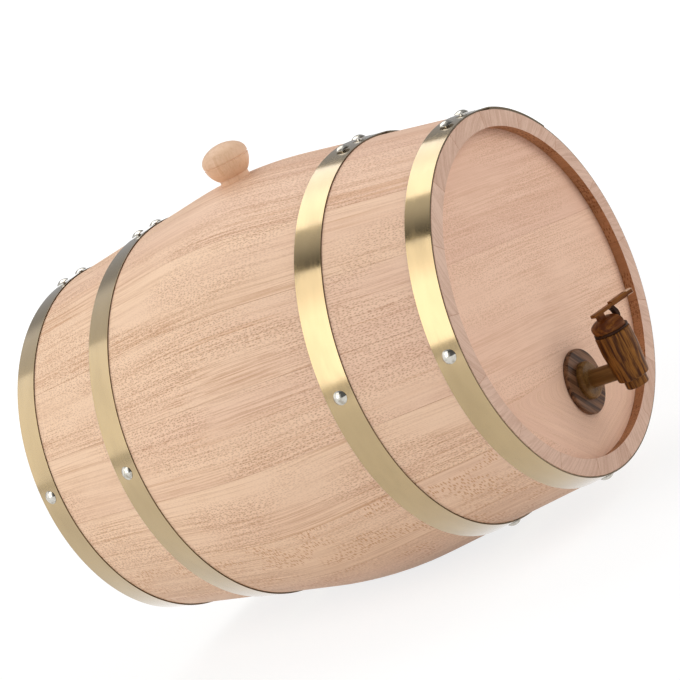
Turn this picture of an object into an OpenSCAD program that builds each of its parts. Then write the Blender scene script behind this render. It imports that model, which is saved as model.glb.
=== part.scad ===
// Oak cask with a wooden tap, lying on its belly: 10 litre size.
// Origin: the lowest point of the belly, halfway along the cask. The cask's axis runs along Y, the
// tap is at the front (-Y), the bung is on top (+Z). Angles round the cask are counted from the
// top, towards the left side as seen from the front.

/* [Staves] */
// Length of the cask from rim to rim
cask_length = 310; // [260:5:400]
// Outer radius at the middle of the belly
belly_r = 126; // [116:1:150]
// Outer radius of the staves at each rim
rim_r = 107; // [95:1:115]
// Half length of the bent middle; from there the staves run straight
belly_arc = 35; // [20:1:55]
// Number of staves round the cask
stave_count = 17; // [15:1:20]
// Thickness of a stave
stave_t = 10; // [9:0.5:13]

/* [Heads] */
// Depth of each head behind its rim
head_recess = 7; // [4:0.5:12]
// Thickness of the head boards
head_t = 12; // [10:0.5:16]
// Thickness of the head's edge, which sits in the groove of the staves
tongue_t = 5; // [3:0.5:7]
// Depth of that groove, the croze, in the staves
croze_depth = 4; // [2:0.5:5]
// Width of the bevel behind that edge
head_bevel = 3.5; // [2:0.5:8]
// Width of the middle head board
middle_board_w = 68; // [50:1:80]
// Turn of the front head's boards from level
front_head_turn = -11; // [-30:1:30]
// Turn of the rear head's boards from level
rear_head_turn = 6; // [-30:1:30]
// Radius of the dowels between head boards
dowel_r = 3; // [2:0.25:4]
// Length of those dowels
dowel_length = 24; // [16:1:36]
// Distance between the two dowels of a joint
dowel_gap = 100; // [60:2:120]

/* [Hoops] */
// Thickness of the hoop strip
hoop_t = 0.8; // [0.5:0.1:1.5]
// Width of the two end hoops
end_hoop_w = 15.5; // [12:0.5:20]
// Width of the two belly hoops
belly_hoop_w = 17; // [12:0.5:20]
// Distance from the middle of the cask to the middle of each belly hoop
belly_hoop_y = 78.5; // [70:0.5:105]
// Distance from the rim to the edge of the end hoop
hoop_setback = 0.4; // [0:0.1:2]
// Length of the lap where a hoop's ends are riveted together
lap_length = 56; // [44:1:70]
// Angle from the top of the cask to the middle of the laps
lap_turn = -2.5; // [-6:0.5:6]

/* [Fasteners] */
// Distance between the two rivets of a lap
rivet_gap = 20; // [14:0.5:28]
// Radius of a rivet's shank
rivet_r = 1.5; // [1:0.1:2]
// Radius of the domed heads
dome_r = 4.1; // [3:0.1:5]
// Height of the domed heads
dome_h = 2; // [1.2:0.1:3]
// Radius of a rivet's closed tail under the hoop
tail_r = 2.5; // [2.2:0.1:3.2]
// Height of that tail
tail_h = 0.8; // [0.5:0.1:1.2]
// Radius of a nail's shank
nail_r = 1.2; // [0.8:0.1:1.8]
// Wood left between a nail's point and the groove for the head
nail_cover = 1; // [0.5:0.1:1.5]
// A nail goes in the middle of every so many staves
nail_step = 4; // [3:1:6]

/* [Bung] */
// Radius of the bung where it leaves the stave
bung_r = 9; // [7:0.25:11]
// Height of the bung's foot above the stave
bung_foot_h = 3; // [2:0.5:6]
// Depth of the bung below the stave's surface
bung_depth = 14; // [12:0.5:20]
// Radius lost along that depth
bung_taper = 1.2; // [0.6:0.1:2]
// Radius of the bung's knob
knob_r = 14.1; // [11.5:0.1:18]
// Height from the foot to the knob's widest place
knob_low_h = 11.2; // [6:0.1:14]
// Height of the knob above that place
knob_top_h = 8.6; // [5:0.1:12]
// Height from the foot to the line that is scored round the knob
score_h = 9.4; // [4:0.1:10.5]
// How far the knob's foot stands out over the bung's foot
knob_flare = 0.6; // [0.2:0.1:1]
// Depth of the scored line
score_d = 0.5; // [0.3:0.1:1]

/* [Tap] */
// Distance from the cask's axis down to the tap's stem
tap_drop = 56.5; // [45:0.5:65]
// Radius of the flange
flange_r = 19.2; // [15:0.2:24]
// Thickness of the flange
flange_t = 3; // [2:0.5:5]
// Radius of the stem's shoulder
shoulder_r = 11; // [9:0.2:14]
// Thickness of that shoulder
shoulder_t = 3.8; // [2:0.2:6]
// Width of the bevel on the flange and on the shoulder
tap_bevel = 1.1; // [0.5:0.1:1.8]
// Radius of the stem
stem_r = 5.25; // [4.2:0.05:6]
// Radius of the stem's tail at the head
stem_tail_r = 7.2; // [6:0.1:8.5]
// Length of the tail, from the head's outer face inwards
stem_tail_length = 19; // [16:0.5:26]
// Radius lost along the tail
stem_tail_taper = 0.8; // [0.4:0.1:1.4]
// Distance from the head to the tap body's axis
tap_reach = 31.7; // [26:0.1:40]
// Height from the stem's axis to the top of the tap body
tap_top_h = 22.5; // [18:0.5:26]
// Height of the tap body without its nozzle
tap_body_h = 28.5; // [28:0.5:34]
// Radius of the tap body at its top
tap_top_r = 10.5; // [10:0.1:13]
// Radius of the tap body at its widest place
tap_belly_r = 10.8; // [10:0.1:13]
// Depth of that place below the top
tap_belly_drop = 10; // [6:0.5:14]
// Radius of the tap body where the nozzle starts
tap_low_r = 9.2; // [8:0.1:10]
// Radius of the nozzle
nozzle_r = 6.7; // [5:0.1:7.8]
// Height of the nozzle
nozzle_h = 5.5; // [3:0.5:9]
// Radius of the way for the liquid
bore_r = 2; // [1.5:0.1:2.4]
// Depth of the stem in the tap body
socket_depth = 2.5; // [1.5:0.1:2.8]

/* [Key] */
// Radius of the key's plug at the top of the tap body
plug_r = 6; // [5.5:0.1:6.6]
// Length of the plug
plug_length = 26.5; // [26:0.5:27]
// Radius lost along the plug
plug_taper = 1.2; // [0.8:0.1:1.5]
// Radius of the key's round base and of the bulb on it
bulb_r = 10.2; // [8.6:0.1:11]
// Thickness of the base
key_base_t = 1.4; // [1:0.1:2.5]
// Height of the bulb, with its base
bulb_h = 9; // [8:0.1:11]
// How far the bulb draws in at the base
bulb_waist = 1.2; // [0.6:0.1:2]
// Distance from the key's axis to the flat that is cut on the bulb's front
bulb_flat = 4; // [3:0.1:5.2]
// Height from the tap body up to the underside of the key's bar
bar_z = 11.8; // [11.5:0.1:16]
// Length of the key's bar
bar_length = 31.5; // [22:0.5:36]
// Part of the bar behind the key's axis
bar_back = 7.5; // [6:0.1:10]
// Width of the bar and of the post and leg under it
grip_w = 4; // [3.5:0.5:8]
// Thickness of the post that carries the bar
post_w = 4; // [3:0.1:5]
// Distance from the key's axis back to that post's rear
post_back = 4.6; // [2.5:0.1:5]
// Thickness of the leg in front of the bulb
leg_w = 2.5; // [1.8:0.1:3]
// Distance from the bulb's flat to the middle of the leg
leg_out = 3.1; // [2.3:0.1:3.2]
// How far the leg sways to each side
leg_sway = 1.1; // [0:0.05:1.1]
// Thickness of the bar behind its step
bar_thin_t = 1.9; // [1.2:0.1:3]
// Thickness of the bar in front of its step
bar_thick_t = 2.9; // [2:0.1:4]
// Turn of the bar from straight ahead, to the right, when the tap is shut
key_turn = 66; // [50:0.5:75]

/* [Clearances] */
// Gap between a hoop and the staves
hoop_fit = 0.08; // [0.05:0.01:0.2]
// Gap round dowels, nails, rivets, the stem and the head in its groove
wood_fit = 0.05; // [0.03:0.01:0.1]
// Gap round the bung and round the key's plug
taper_fit = 0.06; // [0.04:0.01:0.1]
// Gap between the key and the top of the tap body
key_gap = 0.3; // [0.2:0.05:0.5]

/* [Hidden] */
$fn = 96;
// Flats on each half of the bent middle
BEND_STEPS = 6;
// Segments of a turned outline
TURN_STEPS = 14;
// Overlap of cutting shapes
CUT = 1;
// Part of a wave that the key's S-shaped leg follows, from its foot up
LEG_START = -80;
LEG_SWEEP = 310;

// The first stave is the one with the bung hole, and the others follow towards the left side
STAVES = [for (i = [1:stave_count]) i == 1 ? "bung_stave" : str("stave_", i)];

half = cask_length / 2;
pitch = 360 / stave_count;
// The stave's curve is a parabola in the bent middle, and its tangents beyond it
bend = (belly_r - rim_r) / (belly_arc * (half - belly_arc / 2));
end_slope = atan(bend * belly_arc);
function stave_r(y) =
    abs(y) < belly_arc ? belly_r - bend * y * y / 2
                       : belly_r - bend * belly_arc * (abs(y) - belly_arc / 2);
bend_ys = [for (i = [-BEND_STEPS:BEND_STEPS]) i * belly_arc / BEND_STEPS];
stave_ys = concat([-half], bend_ys, [half]);

head_y = half - head_recess;
head_r = stave_r(head_y) - stave_t + croze_depth - wood_fit;
groove_mouth_r = stave_r(head_y) - stave_t - wood_fit;

end_hoop_y = half - hoop_setback - end_hoop_w / 2;
HOOPS = [
    [-end_hoop_y, end_hoop_w], [-belly_hoop_y, belly_hoop_w],
    [belly_hoop_y, belly_hoop_w], [end_hoop_y, end_hoop_w]
];
function lap_angle(y) = lap_length / stave_r(y) * 180 / PI;
function rivet_angles(y) =
    [for (side = [-1, 1]) lap_turn + side * rivet_gap / 2 / stave_r(y) * 180 / PI];
nail_angles = [for (i = [nail_step:nail_step:stave_count - nail_step + 1]) i * pitch];
nail_length = stave_t - croze_depth - nail_cover;

tap_z = belly_r - tap_drop;
tap_y = -head_y - tap_reach;
tap_top_z = tap_z + tap_top_h;
function tap_body_r(drop) = drop < tap_belly_drop
    ? tap_top_r + (tap_belly_r - tap_top_r) * drop / tap_belly_drop
    : tap_belly_r - (tap_belly_r - tap_low_r) * (drop - tap_belly_drop) / (tap_body_h - tap_belly_drop);
function plug_r_at(drop) = plug_r - plug_taper * drop / plug_length;
stem_end = tap_body_r(tap_top_h) - socket_depth;

WOOD = "burlywood";
DARK_WOOD = "sienna";

// The cask's axis, drawn along +Z, is laid along +Y at its height
module lying() {
    translate([0, 0, belly_r]) rotate([-90, 0, 0]) children();
}

// Draws along +X at an angle round the cask, counted from the top
module round_at(angle) {
    rotate([0, 0, -90 - angle]) children();
}

// Draws along +Z, square to the stave's outer face at y and angle
module on_stave(y, angle) {
    tilt = y < 0 ? end_slope : -end_slope;
    lying() round_at(angle)
        translate([stave_r(y), 0, y]) rotate([0, tilt, 0]) rotate([0, 90, 0]) children();
}

module dome(r, h) {
    ball = (r * r + h * h) / (2 * h);
    rotate_extrude() intersection() {
        translate([0, h - ball]) circle(ball);
        square([r, h]);
    }
}

// Half the outline of a turned ball: from its foot at z = 0 out to r at low_h, and in to its top
module ball_outline(r, foot_r, low_h, top_h) {
    start = -acos(foot_r / r);
    polygon(concat([[0, 0]], [for (i = [0:TURN_STEPS])
        let (a = start + (90 - start) * i / TURN_STEPS)
        [r * cos(a), a < 0 ? low_h * (1 - sin(a) / sin(start)) : low_h + top_h * sin(a)]]));
}

// ---- staves ----

module stave_section() {
    n = len(stave_ys) - 1;
    difference() {
        polygon(concat(
            [for (y = stave_ys) [stave_r(y), y]],
            [for (i = [n:-1:0]) [stave_r(stave_ys[i]) - stave_t, stave_ys[i]]]
        ));
        for (side = [-1, 1])
            translate([0, side * (head_y - tongue_t / 2) - tongue_t / 2 - wood_fit])
                square([head_r + wood_fit, tongue_t + 2 * wood_fit]);
    }
}

function near(a, b) = abs((a - b + 540) % 360 - 180) < pitch;

module stave(i) {
    middle = (i - 1) * pitch;
    color(WOOD) difference() {
        lying() round_at(middle) rotate([0, 0, -pitch / 2])
            rotate_extrude(angle = pitch) stave_section();
        if (i == 1) bung_hole();
        for (hoop = HOOPS) {
            for (a = rivet_angles(hoop[0])) if (near(a, middle))
                on_stave(hoop[0], a) translate([0, 0, hoop_fit - 3 * wood_fit - tail_h])
                    cylinder(r = tail_r + 2 * wood_fit, h = tail_h + CUT);
            for (a = nail_angles) if (near(a, middle))
                on_stave(hoop[0], a) translate([0, 0, -nail_length - wood_fit])
                    cylinder(r = nail_r + wood_fit, h = nail_length + CUT);
        }
    }
}

// ---- heads ----

// A head lies with its outer face at z = 0 and its inner face at z = head_t
module head_blank() {
    rotate_extrude() polygon([
        [0, 0], [head_r, 0], [head_r, tongue_t], [groove_mouth_r, tongue_t],
        [groove_mouth_r - head_bevel, head_t], [0, head_t]
    ]);
}

module head_dowel(x, side, fit) {
    translate([x, side * middle_board_w / 2, head_t / 2]) rotate([90, 0, 0])
        cylinder(r = dowel_r + fit, h = dowel_length + 2 * fit, center = true);
}

module head_dowels(fit) {
    for (x = [-1, 1]) for (side = [-1, 1]) head_dowel(x * dowel_gap / 2, side, fit);
}

// part is 1 for the upper board, 0 for the middle one and -1 for the lower one
module head_board(part) {
    low = part == 1 ? middle_board_w / 2 : part == 0 ? -middle_board_w / 2 : -head_r - CUT;
    high = part == 1 ? head_r + CUT : part == 0 ? middle_board_w / 2 : -middle_board_w / 2;
    difference() {
        intersection() {
            head_blank();
            translate([-head_r - CUT, low, -CUT])
                cube([2 * head_r + 2 * CUT, high - low, head_t + 2 * CUT]);
        }
        head_dowels(wood_fit);
    }
}

// Stands a head up in its groove; end is -1 for the front and 1 for the rear
module at_head(end) {
    turn = end < 0 ? front_head_turn : rear_head_turn;
    translate([0, end * head_y, belly_r]) rotate([0, 0, end < 0 ? 0 : 180])
        rotate([0, -turn, 0]) mirror([0, 1, 0]) rotate([90, 0, 0]) children();
}

// The tapered tail that the stem has inside the head, and the hole for it
module stem_tail(fit) {
    translate([0, -head_y, tap_z]) rotate([-90, 0, 0])
        cylinder(r1 = stem_tail_r + fit, r2 = stem_tail_r - stem_tail_taper + fit,
                 h = stem_tail_length);
}

module front_board(part) {
    color(WOOD) difference() {
        at_head(-1) head_board(part);
        stem_tail(wood_fit);
    }
}

module rear_board(part) {
    color(WOOD) at_head(1) head_board(part);
}

module dowels(end) {
    color(WOOD) at_head(end) head_dowels(0);
}

// ---- hoops ----

// The strip's section, from one height over the hoop's inner face to another
module hoop_section(y, w, bottom, top) {
    low = stave_r(y - w / 2) + hoop_fit;
    high = stave_r(y + w / 2) + hoop_fit;
    polygon([
        [low + bottom, y - w / 2], [low + top, y - w / 2],
        [high + top, y + w / 2], [high + bottom, y + w / 2]
    ]);
}

// A ring, with the outer end of the strip lying on it along the lap
module hoop(hoop) {
    y = hoop[0];
    w = hoop[1];
    lap = lap_angle(y);
    color("khaki") difference() {
        lying() {
            rotate_extrude() hoop_section(y, w, 0, hoop_t);
            round_at(lap_turn) rotate([0, 0, -lap / 2])
                rotate_extrude(angle = lap) hoop_section(y, w, hoop_t / 2, 2 * hoop_t);
        }
        for (a = rivet_angles(y)) on_stave(y, a) translate([0, 0, -CUT])
            cylinder(r = rivet_r + wood_fit, h = 2 * hoop_t + 3 * CUT);
        for (a = nail_angles) on_stave(y, a) translate([0, 0, -CUT])
            cylinder(r = nail_r + wood_fit, h = hoop_t + 3 * CUT);
    }
}

module rivet() {
    translate([0, 0, hoop_fit + 2 * hoop_t]) dome(dome_r, dome_h);
    translate([0, 0, hoop_fit - wood_fit - tail_h]) {
        cylinder(r = rivet_r, h = tail_h + wood_fit + 2 * hoop_t);
        cylinder(r = tail_r, h = tail_h);
    }
}

module nail() {
    translate([0, 0, hoop_fit + hoop_t]) dome(dome_r, dome_h);
    translate([0, 0, -nail_length]) cylinder(r = nail_r, h = nail_length + hoop_fit + hoop_t);
}

module hoop_rivets() {
    color("silver") for (hoop = HOOPS) for (a = rivet_angles(hoop[0]))
        on_stave(hoop[0], a) rivet();
}

module hoop_nails() {
    color("silver") for (hoop = HOOPS) for (a = nail_angles) on_stave(hoop[0], a) nail();
}

// ---- bung ----

module bung_hole() {
    translate([0, 0, 2 * belly_r - stave_t - CUT])
        cylinder(r1 = bung_r_at(stave_t + CUT) + taper_fit, r2 = bung_r_at(-CUT) + taper_fit,
                 h = stave_t + 2 * CUT);
}

function bung_r_at(depth) = bung_r - bung_taper * depth / bung_depth;

// The knob's radius below its widest place, and above it
function knob_r_at(h) = h < knob_low_h
    ? knob_r * sqrt(1 - (1 - pow((bung_r + knob_flare) / knob_r, 2)) * pow(1 - h / knob_low_h, 2))
    : knob_r * sqrt(1 - pow((h - knob_low_h) / knob_top_h, 2));

module bung() {
    color("peachpuff") {
        translate([0, 0, 2 * belly_r - bung_depth])
            cylinder(r1 = bung_r_at(bung_depth), r2 = bung_r, h = bung_depth);
        translate([0, 0, 2 * belly_r]) cylinder(r = bung_r, h = bung_foot_h);
        translate([0, 0, 2 * belly_r + bung_foot_h]) rotate_extrude() difference() {
            ball_outline(knob_r, bung_r + knob_flare, knob_low_h, knob_top_h);
            translate([knob_r_at(score_h), score_h]) circle(score_d);
        }
    }
}

// ---- tap ----

// Draws along +Z, from the head's outer face forward along the stem's axis
module on_stem() {
    translate([0, -head_y, tap_z]) rotate([90, 0, 0]) children();
}

// Draws with +Z up and the top of the tap body at z = 0
module on_tap() {
    translate([0, tap_y, tap_top_z]) children();
}

module tap_flange() {
    color(DARK_WOOD) on_stem() difference() {
        rotate_extrude() polygon([
            [0, 0], [flange_r, 0], [flange_r, flange_t - tap_bevel],
            [flange_r - tap_bevel, flange_t], [0, flange_t]
        ]);
        translate([0, 0, -CUT]) cylinder(r = stem_r + wood_fit, h = flange_t + 2 * CUT);
    }
}

module tap_stem() {
    color("peru") difference() {
        union() {
            on_stem() {
                cylinder(r = stem_r, h = tap_reach - stem_end);
                translate([0, 0, flange_t]) rotate_extrude() polygon([
                    [0, 0], [shoulder_r, 0], [shoulder_r, shoulder_t - tap_bevel],
                    [shoulder_r - tap_bevel, shoulder_t], [0, shoulder_t]
                ]);
            }
            stem_tail(0);
        }
        on_stem() translate([0, 0, -stem_tail_length - CUT])
            cylinder(r = bore_r, h = stem_tail_length + tap_reach + 2 * CUT);
    }
}

module tap_body() {
    seat_h = plug_length + CUT;
    color(DARK_WOOD) difference() {
        on_tap() {
            translate([0, 0, -tap_belly_drop])
                cylinder(r1 = tap_belly_r, r2 = tap_top_r, h = tap_belly_drop);
            translate([0, 0, -tap_body_h])
                cylinder(r1 = tap_low_r, r2 = tap_belly_r, h = tap_body_h - tap_belly_drop);
            translate([0, 0, -tap_body_h - nozzle_h]) cylinder(r = nozzle_r, h = nozzle_h);
        }
        on_tap() {
            translate([0, 0, -seat_h])
                cylinder(r1 = plug_r_at(seat_h) + taper_fit, r2 = plug_r + taper_fit,
                         h = seat_h);
            cylinder(r = plug_r + taper_fit, h = CUT);
            translate([0, 0, -tap_body_h - nozzle_h - CUT])
                cylinder(r = bore_r, h = tap_body_h);
        }
        on_stem() {
            translate([0, 0, tap_reach - stem_end + wood_fit - tap_belly_r])
                cylinder(r = stem_r + wood_fit, h = tap_belly_r);
            translate([0, 0, tap_reach - tap_belly_r]) cylinder(r = bore_r, h = tap_belly_r);
        }
    }
}

// The base disc and the bulb on it, cut flat in front to leave the leg free
module bulb() {
    cylinder(r = bulb_r, h = key_base_t);
    intersection() {
        rotate_extrude() ball_outline(bulb_r, bulb_r - bulb_waist, bulb_h / 2, bulb_h / 2);
        translate([-2 * bulb_r + bulb_flat, -bulb_r, 0]) cube([2 * bulb_r, 2 * bulb_r, bulb_h]);
    }
}

// The grip from the side: a post on the bulb, an S-shaped leg on the base and the bar over both
module grip_outline() {
    leg_mid = bulb_flat + leg_out;
    foot = key_gap + key_base_t / 2;
    top = bar_z + bar_thin_t / 2;
    function leg(i, side) = [
        leg_mid + side * leg_w / 2 + leg_sway * sin(LEG_START + LEG_SWEEP * i / TURN_STEPS),
        foot + (top - foot) * i / TURN_STEPS
    ];
    translate([-post_back, bulb_h / 2]) square([post_w, top - bulb_h / 2]);
    polygon(concat(
        [for (i = [0:TURN_STEPS]) leg(i, -1)], [for (i = [TURN_STEPS:-1:0]) leg(i, 1)]
    ));
    translate([-bar_back, bar_z]) square([bar_length, bar_thin_t]);
    translate([leg_mid, bar_z]) square([bar_length - bar_back - leg_mid, bar_thick_t]);
}

module tap_key() {
    color("saddlebrown") on_tap() rotate([0, 0, key_turn - 90]) difference() {
        union() {
            translate([0, 0, -plug_length])
                cylinder(r1 = plug_r_at(plug_length), r2 = plug_r, h = plug_length);
            cylinder(r = plug_r, h = key_gap);
            translate([0, 0, key_gap]) bulb();
            rotate([90, 0, 0]) linear_extrude(grip_w, center = true) grip_outline();
        }
        // The way through the key: in at the side away from the bar, out at the bottom
        translate([0, 0, -tap_top_h]) rotate([0, -90, 0]) cylinder(r = bore_r, h = plug_r + CUT);
        translate([0, 0, -plug_length - CUT])
            cylinder(r = bore_r, h = plug_length - tap_top_h + CUT);
    }
}

for (i = [1:stave_count]) stave(i);
front_board(1);  // front_head_upper
front_board(0);  // front_head_middle
front_board(-1);  // front_head_lower
dowels(-1);  // front_head_dowels
rear_board(1);  // rear_head_upper
rear_board(0);  // rear_head_middle
rear_board(-1);  // rear_head_lower
dowels(1);  // rear_head_dowels
hoop(HOOPS[0]);  // front_end_hoop
hoop(HOOPS[1]);  // front_belly_hoop
hoop(HOOPS[2]);  // rear_belly_hoop
hoop(HOOPS[3]);  // rear_end_hoop
hoop_rivets();
hoop_nails();
bung();
tap_flange();
tap_stem();
tap_body();
tap_key();
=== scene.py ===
import math

import bpy
from mathutils import Matrix, Vector


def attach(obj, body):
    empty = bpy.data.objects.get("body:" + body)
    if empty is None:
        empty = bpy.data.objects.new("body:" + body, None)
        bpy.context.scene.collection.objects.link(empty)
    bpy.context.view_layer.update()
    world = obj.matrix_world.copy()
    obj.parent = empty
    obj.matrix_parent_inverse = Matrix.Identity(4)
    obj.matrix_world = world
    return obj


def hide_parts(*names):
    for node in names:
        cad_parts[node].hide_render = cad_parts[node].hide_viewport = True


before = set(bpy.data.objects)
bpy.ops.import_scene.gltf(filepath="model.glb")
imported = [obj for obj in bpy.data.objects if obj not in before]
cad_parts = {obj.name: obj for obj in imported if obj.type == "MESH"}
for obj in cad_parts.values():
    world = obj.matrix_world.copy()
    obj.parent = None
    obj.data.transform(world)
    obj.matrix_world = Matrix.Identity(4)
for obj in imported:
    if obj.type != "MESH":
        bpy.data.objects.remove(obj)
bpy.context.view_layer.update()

mm = 0.001
bpy.context.scene.view_settings.view_transform = "Standard"


# small helpers for selecting and shaping

def deselectAll():
    bpy.ops.object.select_all(action="DESELECT")


def pick(*pieces):
    deselectAll()
    for piece in pieces:
        piece.select_set(True)
    bpy.context.view_layer.objects.active = pieces[-1]


def edit(piece):
    pick(piece)
    bpy.ops.object.mode_set(mode="EDIT")
    bpy.ops.mesh.select_mode(type="FACE")
    bpy.ops.mesh.select_all(action="DESELECT")


def leaveEdit():
    bpy.ops.object.mode_set(mode="OBJECT")


def selectFaces(piece, test):
    # test gets a face's centre and normal
    leaveEdit()
    for face in piece.data.polygons:
        face.select = test(face.center, face.normal)
    bpy.ops.object.mode_set(mode="EDIT")


def applyPlace(piece):
    pick(piece)
    bpy.ops.object.transform_apply(location=True, rotation=True, scale=True)


def moveBy(piece, matrix):
    # places a piece and puts the place into its mesh
    piece.matrix_world = matrix @ piece.matrix_world
    applyPlace(piece)


def drawOutline(name, points):
    # an outline is drawn vertex by vertex, from the first point to the last
    deselectAll()
    bpy.ops.mesh.primitive_plane_add(size=mm, location=(0, 0, 0))
    piece = bpy.context.object
    piece.name = name
    bpy.ops.object.mode_set(mode="EDIT")
    bpy.ops.mesh.select_mode(type="VERT")
    bpy.ops.mesh.merge(type="CENTER")
    bpy.ops.transform.translate(value=points[0])
    last = Vector(points[0])
    for point in points[1:]:
        step = Vector(point) - last
        bpy.ops.mesh.extrude_region_move(TRANSFORM_OT_translate={"value": step})
        last = Vector(point)
    bpy.ops.mesh.select_all(action="SELECT")
    return piece


def fillOutline(points):
    # the same, closed and filled with a face
    piece = drawOutline("outline", points)
    bpy.ops.mesh.edge_face_add()
    bpy.ops.mesh.select_all(action="SELECT")
    return piece


def cleanMesh(piece, merge=0.005 * mm):
    pick(piece)
    bpy.ops.object.mode_set(mode="EDIT")
    bpy.ops.mesh.select_mode(type="VERT")
    bpy.ops.mesh.select_all(action="SELECT")
    bpy.ops.mesh.remove_doubles(threshold=merge)
    bpy.ops.mesh.normals_make_consistent(inside=False)
    leaveEdit()


def softenEdges(piece, width, segments=2, angle=40):
    # eases the sharp edges and keeps the flats' own shading
    pick(piece)
    bevel = piece.modifiers.new("eased", "BEVEL")
    bevel.width = width
    bevel.segments = segments
    bevel.limit_method = "ANGLE"
    bevel.angle_limit = math.radians(angle)
    bpy.ops.object.modifier_apply(modifier=bevel.name)
    shadeFlats(piece, angle)


def shadeFlats(piece, angle=40):
    pick(piece)
    bpy.ops.object.shade_smooth_by_angle(angle=math.radians(angle))
    weights = piece.modifiers.new("flats", "WEIGHTED_NORMAL")
    weights.keep_sharp = True
    bpy.ops.object.modifier_apply(modifier=weights.name)


def cutAway(piece, cutter):
    pick(piece)
    cut = piece.modifiers.new("cut", "BOOLEAN")
    cut.operation = "DIFFERENCE"
    cut.solver = "EXACT"
    cut.object = cutter
    bpy.ops.object.modifier_apply(modifier=cut.name)
    bpy.data.objects.remove(cutter)


def turnOutline(name, points, steps=72):
    # an outline in the XZ plane turned round the Z axis; it starts and ends on the axis or closes
    piece = drawOutline(name, [(x, 0, z) for x, z in points])
    bpy.ops.mesh.spin(steps=steps, angle=2 * math.pi, center=(0, 0, 0), axis=(0, 0, 1))
    leaveEdit()
    cleanMesh(piece)
    return piece


def addRound(vertices, low, high, length, height=0):
    # a cylinder or cone along z, with its radius at the low and the high end and its middle's height
    deselectAll()
    bpy.ops.mesh.primitive_cone_add(vertices=vertices, radius1=low, radius2=high, depth=length,
                                    location=(0, 0, height))
    return bpy.context.object


def arc(centre, radius, start, end, steps):
    # points of an arc in degrees, from start to end
    turns = [math.radians(start + (end - start) * i / steps) for i in range(steps + 1)]
    return [(centre[0] + radius * math.cos(t), centre[1] + radius * math.sin(t)) for t in turns]


def copyOf(piece, name):
    pick(piece)
    bpy.ops.object.duplicate()
    other = bpy.context.object
    other.name = name
    other.data.name = name
    return other


def joinAs(name, pieces):
    pick(*pieces)
    bpy.ops.object.join()
    joined = bpy.context.object
    joined.name = name
    joined.data.name = name
    return joined


def storeGrain(piece, place, tone=0.0, warmth=0.0):
    # where each point lies in its own board: across, along and through the grain, in metres; tone
    # and warmth may be numbers, or functions of the place
    points = piece.data.attributes
    for name, kind in (("grainPlace", "FLOAT_VECTOR"), ("boardTone", "FLOAT"), ("boardWarmth", "FLOAT")):
        points.new(name, kind, "POINT")
    for vertex in piece.data.vertices:
        points["grainPlace"].data[vertex.index].vector = place(vertex.co)
    for name, value in (("boardTone", tone), ("boardWarmth", warmth)):
        for vertex in piece.data.vertices:
            points[name].data[vertex.index].value = value(vertex.co) if callable(value) else value


def usePieceMaterials(piece, *names):
    piece.data.materials.clear()
    for name in names:
        piece.data.materials.append(materials[name])


def finishPiece(piece, body, slot, *nodes):
    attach(piece, body)
    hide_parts(*nodes)


def finishTurning(piece, shift, stand, wood, body, slot, node, tone=0.0):
    # the grain runs along the turning's own axis; shift picks its place in the wood
    storeGrain(piece, lambda co: Vector((co.x, co.z, co.y)) + Vector(shift), tone)
    moveBy(piece, stand)
    usePieceMaterials(piece, wood)
    finishPiece(piece, body, slot, node)


# camera, lights and floor

cameraSettings = {
    "place": (-1.295, -0.923, 0.429),  # metres, to the front left and a little above
    "aim": (0.0082, -0.0075, 0.1389),  # what the middle of the picture shows
    "roll": 27.4,                      # degrees that upright things lean to the left
    "lens": 145.3,                     # mm
    "sensor": 36,                      # mm
    "clip": (0.05, 50),                # metres
}


def makeCamera():
    deselectAll()
    bpy.ops.object.camera_add(location=cameraSettings["place"])
    camera = bpy.context.object
    camera.name = "camera"
    camera.data.lens = cameraSettings["lens"]
    camera.data.sensor_width = cameraSettings["sensor"]
    camera.data.clip_start, camera.data.clip_end = cameraSettings["clip"]
    toAim = Vector(cameraSettings["aim"]) - Vector(cameraSettings["place"])
    level = toAim.to_track_quat("-Z", "Y").to_matrix().to_4x4()
    roll = Matrix.Rotation(math.radians(-cameraSettings["roll"]), 4, "Z")
    camera.matrix_world = Matrix.Translation(camera.location) @ level @ roll
    bpy.context.scene.camera = camera


# each softbox: the direction it stands in, the direction that its long side follows, its two sides in
# metres, its brightness, where 1 is white, its tint, and whether polished metal mirrors it
lightSettings = {
    "left": {"toward": (-0.78, 0.33, 0.54), "along": (0.5, 0.0, 0.85), "size": (1.85, 1.2),
             "brightness": 1.85, "tint": (1.0, 0.985, 0.96)},
    "top": {"toward": (0.36, 0.38, 0.85), "along": (0.9, 0.08, -0.42), "size": (1.35, 1.2),
            "brightness": 1.7, "tint": (1.0, 0.99, 0.97)},
    "rear": {"toward": (-0.36, 0.83, 0.36), "along": (0.5, 0.0, 0.85), "size": (1.35, 0.8),
             "brightness": 0.65, "tint": (1.0, 0.985, 0.96)},
    "front": {"toward": (0.3, -0.88, 0.37), "along": (0.95, 0.3, 0.0), "size": (1.5, 1.4),
              "brightness": 2.0, "tint": (1.0, 0.99, 0.98), "mirrored": False},
}
lightDistance = 1.7
lightTarget = Vector((0, 0, 0.16))


def makeLight(name):
    values = lightSettings[name]
    back = Vector(values["toward"]).normalized()
    side = Vector(values["along"])
    side = (side - side.dot(back) * back).normalized()
    turn = Matrix((side, back.cross(side), back)).transposed().to_4x4()
    deselectAll()
    bpy.ops.object.light_add(type="AREA")
    lamp = bpy.context.object
    lamp.name = name + "Softbox"
    lamp.data.shape = "RECTANGLE"
    lamp.data.size, lamp.data.size_y = values["size"]
    lamp.data.energy = values["brightness"] * math.pi * lamp.data.size * lamp.data.size_y
    lamp.data.color = values["tint"]
    lamp.visible_camera = False
    lamp.visible_glossy = values.get("mirrored", True)
    lamp.matrix_world = Matrix.Translation(lightTarget + lightDistance * back) @ turn


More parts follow.
